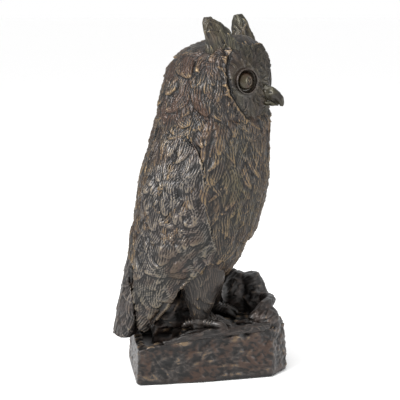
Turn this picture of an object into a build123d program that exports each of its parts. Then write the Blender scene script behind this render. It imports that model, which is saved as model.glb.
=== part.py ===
"""Cast bronze owl on a rock base. Millimetres, +Z up.

The owl faces -Y and its right side is towards -X. The origin is the centre of the underside of
the felt, which is the face that the figure stands on.
"""
import math
import os

from build123d import *

os.makedirs("parts", exist_ok=True)

# Casting
WALL = 4.0                # thickness of the cast walls
WING_THICKNESS = 6.0      # how deep a wing shell sits in the flank
NECK_Z = 226.0            # height of the seam between torso and head
SPIGOT_DEPTH = 12.0       # how far the head plugs into the torso
LEDGE = 4.0               # height of the ledge inside the neck that carries the spigot
FIT = 0.3                 # play between the spigot and the torso
PIN_R = 2.0               # bronze dowels in the neck and wings
PLUG_R = 3.0              # plugs in the core pin holes
TENON_R = 3.0             # tenons of the beak, ear tufts and tail

# Head
HEAD_TURN = 33.0          # degrees that the head is turned towards the owl's right
HEAD_CENTRE = (0.0, -8.0)  # axis that the head turns about
EYE_Z = 262.0             # height of the eyes
EYE_SPREAD = 31.0         # degrees from the beak to each eye, about the head's axis
EYE_FLOOR = 43.5          # distance from the head's axis to the floor of the eye sockets
EYE_RING_R = 10.6         # outer radius of the ring round an eye
EYE_RING_WIDTH = 1.5
EYE_RING_HEIGHT = 4.2
EYE_BALL_R = 8.6          # radius of the ball that an eye is a cap of
EYE_SINK = 3.4            # how far that ball's centre lies under the socket's floor
EYE_SHANK_R = 3.5
EYE_BOSS = 5.0            # thickness of the wall behind an eye
BEAK_Z = 250.0            # height of the beak's root
EAR_SPREAD = 69.0         # degrees from the beak to each ear tuft

# Rock and fixings
FELT = 2.0                # thickness of the felt, which stands proud of the rock's lower edge
PLATE = 2.0               # closing plate
ROCK_Z = 1.0              # lower edge of the rock
ROCK_WALL = 5.0
REBATE = 2.0              # width of the ledge that the plate sits on
DRAFT = 3.0               # degrees that the rock's sides lean inwards
PLATFORM_Z = 44.0         # top of the rock where the feet stand
RIM_REAR_Z = 31.0         # height of the rim at the back
HOLLOW_Z = 24.0           # floor of the hollow behind the feet
HOLLOW_FRONT_Y = 27.0     # where that hollow starts
HOLLOW_BACK_Y = 61.0
HOLLOW_WIDTH = 74.0
HOLLOW_CORNER_R = 8.0
FAR = 120.0               # longer than any cut has to reach
STUD_R = 3.0
STUD_TOP_Z = 78.0
STUD_TAIL = 11.0          # how far a stud hangs below the platform's ceiling
NUT_R = 5.8               # corner radius of a nut
NUT_HEIGHT = 5.0
WASHER_R = 8.0
WASHER_HEIGHT = 1.6
BOSS_R = 5.0
SCREW_R = 1.6
SCREW_HEAD_R = 3.2
SCREW_LENGTH = 9.0

# Cross-sections of the forms: (z, front y, back y, half width)
MANTLE_ROWS = (
    (36, -5, 75, 24), (53, -10, 77, 31), (66, -14, 77.5, 35.5), (83, -20, 77, 41),
    (103, -28, 75, 46.5), (119, -35, 73, 50), (137, -43.5, 69.5, 52.5), (166, -51.5, 65.5, 54),
    (190, -53, 59.5, 54), (210, -52.5, 54, 52.5), (226, -54, 50, 50.5),
)
TORSO_ROWS = (
    (84, -12, 58, 30), (96, -23, 68, 39), (112, -31, 71, 45.5), (130, -41, 69, 49.5),
    (150, -48, 65, 51.5), (170, -52, 62.5, 52), (190, -53, 57.5, 52), (210, -52.5, 52, 50.5),
    (226, -54, 48.5, 48.5),
)
HEAD_ROWS = (
    (226, -54, 48.5, 48.5), (241, -55.5, 45, 47.5), (255, -56, 41.5, 46.5), (269, -55.2, 37, 45),
    (283, -53.5, 29, 40), (291, -50, 20, 34), (297, -44, 9, 25), (300.5, -34, -5, 14),
)
TAIL_ROWS = ((122, 50, 70, 14), (95, 54, 76, 19), (62, 60, 82.5, 20.5), (32, 66, 87, 18))

# Lumps on the rock, which also give the middle of each section: (z, front y, back y, half width, x)
BOULDER_ROWS = (
    (42, -66, -33, 17, 31), (56, -62.5, -32, 17, 31), (68, -58, -33, 15, 31),
    (77, -53, -35, 11, 31), (81.5, -48, -39, 5, 31),
)
FAR_STONE_ROWS = ((42, -42, -10, 8, 40), (62, -40, -13, 7.5, 40.5), (76, -37, -18, 6, 41),
                  (83, -31, -23, 3, 41))
FRONT_STONE_ROWS = ((42, -63, -35, 14.5, -20), (53, -60.5, -36.5, 13, -20), (60.5, -56, -41, 7.5, -20))
REAR_STONE_ROWS = ((42, 19, 55, 19, 4), (54, 18, 54, 19, 5), (68, 20, 52, 16, 6), (80, 26, 47, 8, 6))
REAR_STONE_FOOT = (28.0, 25.0)     # width and depth of the part that stands in the hollow
ROOT_CHAIN = ((-43.5, 46, 36.5), (-43, 27, 40), (-42, 6, 43.5), (-40.5, -15, 45), (-38, -35, 45.5),
              (-33, -49, 47))
ROOT_SIZES = ((2.4, 2.4), (3.2, 3.2), (3.8, 3.8), (3.4, 3.4), (3.8, 3.8), (3, 3))

# Ear tufts, from the crown up: (x, y, z) with half width and half thickness
RIGHT_EAR = (
    ((-28, -5, 283), (12.5, 6)), ((-29, -3.5, 296), (10.5, 5)), ((-29, 0, 307), (8, 4)),
    ((-28, 3, 316.5), (4.2, 2.6)),
)
LEFT_EAR = (
    ((17, -34, 291), (10.5, 5.5)), ((18.5, -32.5, 303), (9.5, 5)), ((20, -31, 312), (7.5, 4)),
    ((20.5, -29.5, 319), (4.2, 2.6)),
)
EAR_TENON = 16.0

# Outline of a wing seen from the side: (y, z)
WING_LEAD = ((26, 222), (14, 197), (11, 166), (6, 138), (-1, 119))
WING_SWEEP = ((12, 101), (31, 82), (42, 66), (52, 52), (58, 40))
WING_REAR = ((67, 39), (71, 69), (84, 104), (84, 222))
WING_SPINE_X = 13.0       # the wings stop this far from the middle of the back
WING_PIN_PLACES = ((38, 190), (42, 145))

# Legs and feet. A leg is (x, y, z) with its half width and half depth. Toes are heel to claw.
RIGHT_LEG = (
    ((-25, 13, 122), (14, 24)), ((-25, 12, 102), (14, 22.5)), ((-25, 10.5, 87), (13.5, 20)),
    ((-25, 10.5, 75), (12, 15)), ((-25, 11, 64), (9.5, 10.5)), ((-25, 11, 54), (7.5, 8)),
)
LEFT_LEG = (
    ((24, 10, 122), (14, 24)), ((24, 5, 102), (14, 21)), ((23.5, -1, 87), (13, 17.5)),
    ((22.5, -4, 75), (11, 14)), ((22, -5, 64), (9, 10.5)), ((22, -5, 54), (7.5, 8)),
)
RIGHT_FOOT = (-25.0, 11.0)
LEFT_FOOT = (22.0, -5.0)
RIGHT_TOES = (
    ((-2, -2, 49.6), (-9, -10, 50), (-15, -18, 48.5), (-17.5, -22.5, 44)),
    ((-0.5, -3, 50), (-3, -12, 50.3), (-6, -23, 48.5), (-7.5, -28.5, 44)),
    ((2, -2.5, 49.3), (6, -11, 49.7), (9, -20, 48.3), (10, -25, 44)),
    ((0.5, 3, 49), (2, 8, 49), (3, 13, 47), (3.5, 16, 44)),
)
LEFT_TOES = (
    ((1.5, -2.5, 49.3), (5, -11, 49.7), (7.5, -18, 48.3), (8.5, -22.5, 44)),
    ((-0.5, -3, 50), (-2.5, -12, 50.3), (-4, -20, 48.5), (-5, -25, 44)),
    ((-2, -2, 49.6), (-9, -9, 50), (-14, -16, 48.5), (-16, -20.5, 44)),
    ((0, 3, 49), (-1, 8, 49), (-1, 13, 47), (-1, 16, 44)),
)
TOE_SIZES = ((5.2, 5.2), (4.4, 4.4), (3.5, 3.5), (1.2, 1.2))
ANKLE_Z = 54.0            # where a leg stands on its foot
HEEL_R = 7.5

# Outline of the rock: (x, y)
ROCK_OUTLINE = (
    (-48, 70), (-46, 10), (-38, -52), (-17, -69), (34, -69), (49, -52), (51, 10), (47, 70),
)
SCREW_PLACES = ((-34, 56), (-28, -44), (37, -48), (35, 56))


def oval(z, front, back, half_width, x=0.0):
    """One cross-section of a form, on its own plane."""
    with BuildSketch(Plane.XY.offset(z)) as section:
        with Locations((x, (front + back) / 2)):
            Ellipse(half_width, (back - front) / 2)
    return section.sketch


def inner_oval(row, front_wall, wall):
    """A cross-section of the space inside a form, with the front wall's thickness given apart."""
    z, front, back, half_width = row
    return oval(z, front + front_wall, back - wall, half_width - wall)


def head_plane(angle, distance, z):
    """Plane at a point round the head, with its normal pointing out. 0 degrees is the beak."""
    turn = math.radians(HEAD_TURN + angle)
    out = Vector(-math.sin(turn), -math.cos(turn), 0)
    across = Vector(math.cos(turn), -math.sin(turn), 0)
    point = Vector(HEAD_CENTRE[0], HEAD_CENTRE[1], z) + out * distance
    return Plane(origin=point, x_dir=across, z_dir=out)


def limb(places, sizes, x_dir=(1, 0, 0)):
    """Oval cross-sections of a limb, each square to the chain of points that it follows."""
    places = [Vector(*place) for place in places]
    sections = []
    for index, size in enumerate(sizes):
        ahead = places[min(index + 1, len(places) - 1)]
        behind = places[max(index - 1, 0)]
        with BuildSketch(Plane(origin=places[index], x_dir=x_dir, z_dir=ahead - behind)) as section:
            Ellipse(*size)
        sections.append(section.sketch)
    return sections


def save(piece, label):
    """Name a finished piece and write it."""
    piece.part.label = label
    export_step(piece.part, f"parts/{label}.step")


# Forms that several pieces are cut from
with BuildPart() as mantle_form:
    loft([oval(*row) for row in MANTLE_ROWS])

with BuildPart() as wing_bed:
    loft([inner_oval(row, WING_THICKNESS, WING_THICKNESS) for row in MANTLE_ROWS])

with BuildPart() as torso_form:
    loft([oval(*row) for row in TORSO_ROWS])

with BuildPart() as torso_core:
    loft([inner_oval(row, WALL, WALL * 2) for row in TORSO_ROWS[1:]])

with BuildPart() as head_form:
    loft([oval(*row) for row in HEAD_ROWS])

with BuildPart() as head_core:
    loft([inner_oval(row, WALL, WALL) for row in HEAD_ROWS[:-1]])
    split(bisect_by=Plane.XY.offset(NECK_Z + LEDGE), keep=Keep.TOP)

# A wing is a shell let into the flank, with its tip free below the belly
with BuildPart() as wing_form:
    with BuildSketch(Plane.YZ.offset(-WING_SPINE_X)):
        with BuildLine():
            Spline(*WING_LEAD)
            Spline(WING_LEAD[-1], *WING_SWEEP)
            Polyline(WING_SWEEP[-1], *WING_REAR, WING_LEAD[0])
        make_face()
    extrude(amount=-FAR)
    add(mantle_form.part, mode=Mode.INTERSECT)
    add(wing_bed.part, mode=Mode.SUBTRACT)

# Dowels across the wings and the torso's wall
with BuildPart() as wing_pins:
    with BuildSketch(Plane.YZ):
        with Locations(*WING_PIN_PLACES):
            Circle(PIN_R)
    extrude(amount=FAR, both=True)
    add(mantle_form.part, mode=Mode.INTERSECT)
    add(torso_core.part, mode=Mode.SUBTRACT)
save(wing_pins, "wing_pins")

with BuildPart() as right_wing:
    add(wing_form.part)
    add(wing_pins.part, mode=Mode.SUBTRACT)
save(right_wing, "right_wing")

with BuildPart() as left_wing:
    mirror(right_wing.part, about=Plane.YZ)
save(left_wing, "left_wing")

# Plugs in the torso's wall where the core pins stood: one in the back, two in the front
with BuildPart() as core_plugs:
    with BuildSketch(Plane.XZ):
        with Locations((0, 165)):
            Circle(PLUG_R)
    extrude(amount=-FAR)
    with BuildSketch(Plane.XZ):
        with Locations((0, 135), (0, 185)):
            Circle(PLUG_R)
    extrude(amount=FAR)
    add(torso_form.part, mode=Mode.INTERSECT)
    add(torso_core.part, mode=Mode.SUBTRACT)
save(core_plugs, "core_plugs")

# Ear tufts: flattened lobes that lean away from the face, each with a tenon in the crown
ears = {}
for side, chain, spread, root in (
    ("right", RIGHT_EAR, EAR_SPREAD, (-27, -5, 300)), ("left", LEFT_EAR, -EAR_SPREAD, (17, -32, 304)),
):
    with BuildPart() as ear_tuft:
        loft(limb(
            [place for place, size in chain],
            [size for place, size in chain],
            head_plane(spread, 0, 0).x_dir,
        ))
        add(head_form.part, mode=Mode.SUBTRACT)
        with BuildSketch(Plane(root)):
            Circle(TENON_R)
        extrude(amount=-EAR_TENON)
    save(ear_tuft, f"{side}_ear_tuft")
    ears[side] = ear_tuft

# Beak: hooked, with a tenon through the wall of the face
BEAK_CHAIN = ((44, BEAK_Z), (52, BEAK_Z + 0.5), (58.5, BEAK_Z - 3), (61.5, BEAK_Z - 9.5))
with BuildPart() as beak:
    loft(limb(
        [head_plane(0, reach, z).origin for reach, z in BEAK_CHAIN],
        ((7.5, 9.5), (6.2, 8), (4.2, 5), (1, 1.2)),
        head_plane(0, 0, 0).x_dir,
    ))
    with BuildSketch(head_plane(0, BEAK_CHAIN[0][0], BEAK_Z)):
        Circle(TENON_R)
    extrude(amount=-5)
save(beak, "beak")

# Eyes: turned domes on a shank, and the rings round them
EYE_ANGLES = {"right": EYE_SPREAD, "left": -EYE_SPREAD}
eyes = {}
rings = {}
for side, angle in EYE_ANGLES.items():
    floor = head_plane(angle, EYE_FLOOR, EYE_Z)
    with BuildPart() as eye:
        with Locations(head_plane(angle, EYE_FLOOR - EYE_SINK, EYE_Z)):
            Sphere(EYE_BALL_R)
        split(bisect_by=floor, keep=Keep.TOP)
        with BuildSketch(floor):
            Circle(EYE_SHANK_R)
        extrude(amount=-EYE_BOSS)
    save(eye, f"{side}_eye")
    eyes[side] = eye
    with BuildPart() as ring:
        with BuildSketch(floor):
            Circle(EYE_RING_R)
            Circle(EYE_RING_R - EYE_RING_WIDTH, mode=Mode.SUBTRACT)
        extrude(amount=EYE_RING_HEIGHT)
        fillet(ring.edges().sort_by(Axis(floor.origin, floor.z_dir))[-2:], EYE_RING_WIDTH * 0.45)
    save(ring, f"{side}_eye_ring")
    rings[side] = ring

# Head: a hollow casting with a spigot below, sockets for the eyes and mortises for the tenons
SPIGOT_ROW = (
    NECK_Z, TORSO_ROWS[-2][1] + WALL + FIT, TORSO_ROWS[-1][2] - WALL * 2 - FIT,
    TORSO_ROWS[-1][3] - WALL * 2 - FIT,
)
with BuildPart() as head_casting:
    add(head_form.part)
    add(head_core.part, mode=Mode.SUBTRACT)
    extrude(oval(*SPIGOT_ROW), amount=-SPIGOT_DEPTH)
    extrude(inner_oval(SPIGOT_ROW, WALL, WALL), amount=LEDGE + 1, mode=Mode.SUBTRACT)
    extrude(inner_oval(SPIGOT_ROW, WALL, WALL), amount=-SPIGOT_DEPTH, mode=Mode.SUBTRACT)
    for side, angle in EYE_ANGLES.items():
        floor = head_plane(angle, EYE_FLOOR, EYE_Z)
        with BuildSketch(floor):
            Circle(EYE_RING_R + EYE_RING_WIDTH)
        extrude(amount=-EYE_BOSS)
        with BuildSketch(floor):
            Circle(EYE_RING_R)
        extrude(amount=EYE_RING_HEIGHT * 2, mode=Mode.SUBTRACT)
        add(eyes[side].part, mode=Mode.SUBTRACT)
    add(beak.part, mode=Mode.SUBTRACT)
    for ear_tuft in ears.values():
        add(ear_tuft.part, mode=Mode.SUBTRACT)

# Dowels across the torso's wall and the spigot: two in front, one behind
with BuildPart() as neck_pins:
    for angle in (-50, 50, 180):
        turn = math.radians(angle)
        out = (math.sin(turn), -math.cos(turn), 0)
        with BuildSketch(Plane(origin=(0, 0, NECK_Z - SPIGOT_DEPTH / 2), z_dir=out)):
            Circle(PIN_R)
        extrude(amount=FAR)
    add(torso_form.part, mode=Mode.INTERSECT)
    extrude(inner_oval(SPIGOT_ROW, WALL, WALL), amount=-SPIGOT_DEPTH, mode=Mode.SUBTRACT)
save(neck_pins, "neck_pins")

with BuildPart() as pinned_head:
    add(head_casting.part)
    add(neck_pins.part, mode=Mode.SUBTRACT)
save(pinned_head, "head_casting")

# Torso: one hollow casting, open at the neck, cut to take the wings
with BuildPart() as body_casting:
    add(torso_form.part)
    add(wing_form.part, mode=Mode.SUBTRACT)
    add(mirror(wing_form.part, about=Plane.YZ, mode=Mode.PRIVATE), mode=Mode.SUBTRACT)
    add(torso_core.part, mode=Mode.SUBTRACT)
    for pegs in (wing_pins, neck_pins, core_plugs):
        add(pegs.part, mode=Mode.SUBTRACT)
save(body_casting, "body_casting")

# Rock: a hollow casting, open below, with a hollow in its top behind the feet
with BuildPart() as rock_base:
    with BuildSketch(Plane.XY.offset(ROCK_Z)) as rock_sketch:
        with BuildLine():
            Polyline(*ROCK_OUTLINE, close=True)
        make_face()
        fillet(rock_sketch.vertices(), 4)
    extrude(amount=PLATFORM_Z - ROCK_Z, taper=DRAFT)
    slope = Vector(0, PLATFORM_Z - RIM_REAR_Z, ROCK_OUTLINE[0][1])
    split(bisect_by=Plane(origin=(0, 0, PLATFORM_Z), x_dir=(1, 0, 0), z_dir=slope), keep=Keep.BOTTOM)
    with BuildSketch(Plane.XY.offset(HOLLOW_Z)):
        with Locations((0, (HOLLOW_FRONT_Y + HOLLOW_BACK_Y) / 2)):
            RectangleRounded(HOLLOW_WIDTH, HOLLOW_BACK_Y - HOLLOW_FRONT_Y, HOLLOW_CORNER_R)
    extrude(amount=FAR, mode=Mode.SUBTRACT)
    with BuildSketch(Plane.XY.offset(ROCK_Z)):
        offset(rock_sketch.sketch, -ROCK_WALL)
    extrude(amount=HOLLOW_Z - ROCK_WALL - ROCK_Z, taper=DRAFT, mode=Mode.SUBTRACT)
    with BuildSketch(Plane.XY.offset(ROCK_Z)):
        offset(rock_sketch.sketch, -ROCK_WALL)
        with Locations((0, HOLLOW_FRONT_Y - ROCK_WALL)):
            Rectangle(FAR, FAR, align=(Align.CENTER, Align.MAX), mode=Mode.INTERSECT)
    extrude(amount=PLATFORM_Z - ROCK_WALL - ROCK_Z, taper=DRAFT, mode=Mode.SUBTRACT)
    for place in SCREW_PLACES:
        ceiling = HOLLOW_Z if place[1] > HOLLOW_FRONT_Y else PLATFORM_Z
        with BuildSketch(Plane.XY.offset(FELT + PLATE)):
            with Locations(place):
                Circle(BOSS_R)
        extrude(amount=ceiling - ROCK_WALL / 2 - FELT - PLATE)
    with BuildSketch(Plane.XY.offset(ROCK_Z)):
        offset(rock_sketch.sketch, REBATE - ROCK_WALL)
    extrude(amount=FELT + PLATE - ROCK_Z, mode=Mode.SUBTRACT)
    with BuildSketch(Plane.XY.offset(FELT)):
        with Locations(*SCREW_PLACES):
            Circle(SCREW_R)
    extrude(amount=SCREW_LENGTH, mode=Mode.SUBTRACT)
    with BuildSketch(Plane.XY):
        with Locations(RIGHT_FOOT, LEFT_FOOT):
            Circle(STUD_R)
    extrude(amount=PLATFORM_Z + 1, mode=Mode.SUBTRACT)
save(rock_base, "rock_base")

# Tail: a wedge between the wing tips
with BuildPart() as tail:
    loft([oval(*row) for row in TAIL_ROWS])
    for neighbour in (torso_form, right_wing, left_wing, rock_base):
        add(neighbour.part, mode=Mode.SUBTRACT)
save(tail, "tail")

# Legs stand on their feet, and both are bored for the studs that hold the owl on its rock
legs = {}
feet = {}
for side, chain, foot, toes in (
    ("right", RIGHT_LEG, RIGHT_FOOT, RIGHT_TOES), ("left", LEFT_LEG, LEFT_FOOT, LEFT_TOES),
):
    with BuildPart() as leg:
        loft(limb([place for place, size in chain], [size for place, size in chain]))
        for neighbour in (torso_form, right_wing, left_wing, tail):
            add(neighbour.part, mode=Mode.SUBTRACT)
        split(bisect_by=Plane.XY.offset(ANKLE_Z), keep=Keep.TOP)
        with BuildSketch(Plane.XY):
            with Locations(foot):
                Circle(STUD_R)
        extrude(amount=STUD_TOP_Z, mode=Mode.SUBTRACT)
    save(leg, f"{side}_leg")
    legs[side] = leg
    with BuildPart() as claws:
        with BuildSketch(Plane.XY.offset(PLATFORM_Z)):
            with Locations(foot):
                Circle(HEEL_R)
        extrude(amount=ANKLE_Z - PLATFORM_Z)
        for toe in toes:
            places = [(foot[0] + x, foot[1] + y, z) for x, y, z in toe]
            loft(limb(places, TOE_SIZES, (0, 0, 1)))
        split(bisect_by=Plane.XY.offset(ANKLE_Z), keep=Keep.BOTTOM)
        add(rock_base.part, mode=Mode.SUBTRACT)
        with BuildSketch(Plane.XY):
            with Locations(foot):
                Circle(STUD_R)
        extrude(amount=STUD_TOP_Z, mode=Mode.SUBTRACT)
    save(claws, f"{side}_foot")
    feet[side] = claws

# Lumps brazed on the rock: two on the far side, one in front, one behind the feet, a root on the near rim
with BuildPart() as boulder:
    loft([oval(*row) for row in BOULDER_ROWS])
    for neighbour in (rock_base, feet["left"], torso_form):
        add(neighbour.part, mode=Mode.SUBTRACT)
save(boulder, "boulder")

with BuildPart() as far_stone:
    loft([oval(*row) for row in FAR_STONE_ROWS])
    for neighbour in (rock_base, boulder, feet["left"], torso_form):
        add(neighbour.part, mode=Mode.SUBTRACT)
save(far_stone, "far_stone")

with BuildPart() as front_stone:
    loft([oval(*row) for row in FRONT_STONE_ROWS])
    for neighbour in (rock_base, boulder, feet["right"]):
        add(neighbour.part, mode=Mode.SUBTRACT)
save(front_stone, "front_stone")

with BuildPart() as rear_stone:
    loft([oval(*row) for row in REAR_STONE_ROWS])
    with BuildSketch(Plane.XY.offset(HOLLOW_Z)):
        with Locations((REAR_STONE_ROWS[0][4], HOLLOW_FRONT_Y)):
            Rectangle(*REAR_STONE_FOOT, align=(Align.CENTER, Align.MIN))
    extrude(amount=PLATFORM_Z - HOLLOW_Z)
    for neighbour in (rock_base, torso_form, right_wing, left_wing, tail, *legs.values(), *feet.values()):
        add(neighbour.part, mode=Mode.SUBTRACT)
save(rear_stone, "rear_stone")

with BuildPart() as root_ridge:
    loft(limb(ROOT_CHAIN, ROOT_SIZES, (0, 0, 1)))
    for neighbour in (rock_base, front_stone, feet["right"]):
        add(neighbour.part, mode=Mode.SUBTRACT)
save(root_ridge, "root_ridge")

# Studs, washers and nuts that clamp the feet and legs to the rock
CEILING_Z = PLATFORM_Z - ROCK_WALL
with BuildPart() as foot_studs:
    with BuildSketch(Plane.XY.offset(CEILING_Z - STUD_TAIL)):
        with Locations(RIGHT_FOOT, LEFT_FOOT):
            Circle(STUD_R)
    extrude(amount=STUD_TOP_Z - CEILING_Z + STUD_TAIL)
save(foot_studs, "foot_studs")

with BuildPart() as stud_washers:
    with BuildSketch(Plane.XY.offset(CEILING_Z)):
        with Locations(RIGHT_FOOT, LEFT_FOOT):
            Circle(WASHER_R)
            Circle(STUD_R, mode=Mode.SUBTRACT)
    extrude(amount=-WASHER_HEIGHT)
save(stud_washers, "stud_washers")

with BuildPart() as stud_nuts:
    with BuildSketch(Plane.XY.offset(CEILING_Z - WASHER_HEIGHT)):
        with Locations(RIGHT_FOOT, LEFT_FOOT):
            RegularPolygon(NUT_R, 6)
            Circle(STUD_R, mode=Mode.SUBTRACT)
    extrude(amount=-NUT_HEIGHT)
save(stud_nuts, "stud_nuts")

# Closing plate, its countersunk screws, and the felt
with BuildPart() as base_plate:
    with BuildSketch(Plane.XY.offset(FELT)):
        offset(rock_sketch.sketch, REBATE - ROCK_WALL)
    extrude(amount=PLATE)
    with Locations(*[Location((x, y, FELT), (180, 0, 0)) for x, y in SCREW_PLACES]):
        CounterSinkHole(SCREW_R, SCREW_HEAD_R)
save(base_plate, "base_plate")

with BuildPart() as base_plate_screws:
    for x, y in SCREW_PLACES:
        with BuildSketch(Plane(origin=(x, y, FELT), x_dir=(1, 0, 0), z_dir=(0, -1, 0))):
            with BuildLine():
                head_height = SCREW_HEAD_R - SCREW_R
                Polyline(
                    (0, 0), (SCREW_HEAD_R, 0), (SCREW_R, head_height), (SCREW_R, SCREW_LENGTH),
                    (0, SCREW_LENGTH), close=True,
                )
            make_face()
        revolve(axis=Axis((x, y, 0), (0, 0, 1)))
save(base_plate_screws, "base_plate_screws")

with BuildPart() as felt_pad:
    with BuildSketch():
        offset(rock_sketch.sketch, REBATE - ROCK_WALL)
    extrude(amount=FELT)
save(felt_pad, "felt_pad")
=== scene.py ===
import math
from itertools import product

import bpy
import numpy as np
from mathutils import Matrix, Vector
from mathutils.kdtree import KDTree


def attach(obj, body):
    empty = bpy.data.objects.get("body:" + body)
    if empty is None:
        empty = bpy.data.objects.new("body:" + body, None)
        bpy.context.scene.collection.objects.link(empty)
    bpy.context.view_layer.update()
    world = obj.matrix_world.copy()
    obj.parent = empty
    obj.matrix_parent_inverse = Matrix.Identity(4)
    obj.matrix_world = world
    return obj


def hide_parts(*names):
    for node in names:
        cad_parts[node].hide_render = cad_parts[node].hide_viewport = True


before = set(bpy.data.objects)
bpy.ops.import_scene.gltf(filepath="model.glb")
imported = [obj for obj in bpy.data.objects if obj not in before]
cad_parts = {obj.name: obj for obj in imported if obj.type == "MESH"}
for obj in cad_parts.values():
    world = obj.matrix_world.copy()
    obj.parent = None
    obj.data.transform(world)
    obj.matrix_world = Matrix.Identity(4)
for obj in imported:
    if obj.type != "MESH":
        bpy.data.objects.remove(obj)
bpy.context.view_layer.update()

# --- Torso ---------------------------------------------------------------------------------
# The trunk is one hollow bronze casting. Its skin was laid on in clay, tuft over tuft, and each
# tuft was combed with a toothed tool before the mould was made. Sizes here are in millimetres.

MM = 0.001
DOWN = np.array((0.0, 0.0, -1.0))


def stacked(rows, step=1.5, corners=120, rounds=6):
    """A closed form through level ovals: (height, front, back, half width, middle x)."""
    rows = np.array([tuple(row) + (0.0,) * (5 - len(row)) for row in rows], float)
    heights = np.arange(rows[0, 0], rows[-1, 0] + step / 2, step)
    columns = [np.interp(heights, rows[:, 0], rows[:, i]) for i in range(1, 5)]
    for _ in range(rounds):
        columns = [np.concatenate((c[:1], (c[:-2] + 2 * c[1:-1] + c[2:]) / 4, c[-1:])) for c in columns]
    front, back, half, middle = columns
    angle = np.linspace(0, 2 * math.pi, corners, endpoint=False)
    x = middle[:, None] + half[:, None] * np.cos(angle)
    y = (front + back)[:, None] / 2 + (back - front)[:, None] / 2 * np.sin(angle)
    rings = np.stack((x, y, np.repeat(heights[:, None], corners, 1)), 2)
    return tube_of(rings)


def tube_of(rings):
    """Points and faces of a tube through rings, closed at both ends."""
    count, corners = rings.shape[:2]
    points = rings.reshape(-1, 3)
    faces = []
    for ring in range(count - 1):
        for corner in range(corners):
            after = (corner + 1) % corners
            low, high = ring * corners, (ring + 1) * corners
            faces.append((low + corner, low + after, high + after, high + corner))
    faces.append(tuple(range(corners - 1, -1, -1)))
    faces.append(tuple(range((count - 1) * corners, count * corners)))
    return points, faces


def drawn_out(places, sizes, broad=(1, 0, 0), corners=40, steps=14):
    """A closed limb along a chain of places; each size is (half width along broad, half depth)."""
    places, sizes = np.array(places, float), np.array(sizes, float)
    marks = np.arange(len(places))
    fine = np.linspace(0, len(places) - 1, (len(places) - 1) * steps + 1)
    line = np.stack([np.interp(fine, marks, places[:, i]) for i in range(3)], 1)
    size = np.stack([np.interp(fine, marks, sizes[:, i]) for i in range(2)], 1)
    rounds = steps * 2
    for _ in range(rounds):
        line[1:-1] = (line[:-2] + 2 * line[1:-1] + line[2:]) / 4
        size[1:-1] = (size[:-2] + 2 * size[1:-1] + size[2:]) / 4
    ahead = np.gradient(line, axis=0)
    ahead /= np.linalg.norm(ahead, axis=1)[:, None]
    wide = np.array(broad, float) - (ahead @ np.array(broad, float))[:, None] * ahead
    wide /= np.linalg.norm(wide, axis=1)[:, None]
    deep = np.cross(ahead, wide)
    angle = np.linspace(0, 2 * math.pi, corners, endpoint=False)
    rings = (line[:, None] + np.cos(angle)[None, :, None] * (wide * size[:, :1])[:, None]
             + np.sin(angle)[None, :, None] * (deep * size[:, 1:])[:, None])
    return tube_of(rings)


def cad_form(node):
    """A copy of a cast piece as it left the pattern, to work up further."""
    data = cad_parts[node].data
    points = np.empty(len(data.vertices) * 3)
    data.vertices.foreach_get("co", points)
    return points.reshape(-1, 3) / MM, [tuple(p.vertices) for p in data.polygons]


def moulded(name, forms, grain, ease):
    """Press closed forms into one closed skin with faces about `grain` wide, then ease its edges."""
    points, faces, base = [], [], 0
    for form_points, form_faces in forms:
        points.append(form_points)
        faces += [tuple(base + i for i in face) for face in form_faces]
        base += len(form_points)
    rough = bpy.data.meshes.new(name)
    rough.from_pydata((np.concatenate(points) * MM).tolist(), [], faces)
    piece = bpy.data.objects.new(name, rough)
    bpy.context.scene.collection.objects.link(piece)
    fused = piece.modifiers.new("fused", "REMESH")
    fused.mode = "VOXEL"
    fused.voxel_size = grain * MM
    eased = piece.modifiers.new("eased", "SMOOTH")
    eased.factor = 0.5
    eased.iterations = ease
    bpy.context.view_layer.update()
    skin = bpy.data.meshes.new_from_object(piece.evaluated_get(bpy.context.evaluated_depsgraph_get()))
    piece.modifiers.clear()
    piece.data = skin
    skin.name = name
    bpy.data.meshes.remove(rough)
    skin.shade_smooth()
    return piece


def skin_of(piece):
    """Places and outward directions of a skin's points."""
    count = len(piece.data.vertices)
    points, normals = np.empty(count * 3), np.empty(count * 3)
    piece.data.vertices.foreach_get("co", points)
    piece.data.vertices.foreach_get("normal", normals)
    return points.reshape(-1, 3) / MM, normals.reshape(-1, 3)


def press(piece, points):
    """Move a skin's points."""
    piece.data.vertices.foreach_set("co", (points * MM).astype(np.float32).ravel())
    piece.data.update()


def mark(piece, name, values):
    """Store a value for each point, for the patina to read."""
    layer = piece.data.attributes.new(name, "FLOAT", "POINT")
    layer.data.foreach_set("value", np.clip(values, 0, 1).astype(np.float32))


def spread_out(piece, values, rounds):
    """Average values over neighbouring points."""
    edges = np.empty(len(piece.data.edges) * 2, np.int32)
    piece.data.edges.foreach_get("vertices", edges)
    a, b = edges.reshape(-1, 2).T
    count = len(values)
    share = 1 / np.maximum(np.bincount(a, minlength=count) + np.bincount(b, minlength=count), 1)
    for _ in range(rounds):
        around = np.bincount(a, values[b], count) + np.bincount(b, values[a], count)
        values = (values + share * around) / 2
    return values


def lumps(points, size, seed):
    """Soft unevenness from -1 to 1 with lumps of about the given size."""
    side = 24
    lattice = np.random.RandomState(seed).uniform(-1, 1, (side, side, side))
    place = points / size + 100
    cell = np.floor(place).astype(int)
    share = place - cell
    share = share * share * (3 - 2 * share)
    total = np.zeros(len(points))
    for corner in product((0, 1), repeat=3):
        weight = np.prod(np.where(np.array(corner) == 1, share, 1 - share), axis=1)
        index = (cell + np.array(corner)) % side
        total += weight * lattice[index[:, 0], index[:, 1], index[:, 2]]
    return total


def ramp(values, low, high):
    """0 below low, 1 above high, smooth between."""
    share = np.clip((values - low) / (high - low), 0, 1)
    return share * share * (3 - 2 * share)


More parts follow.
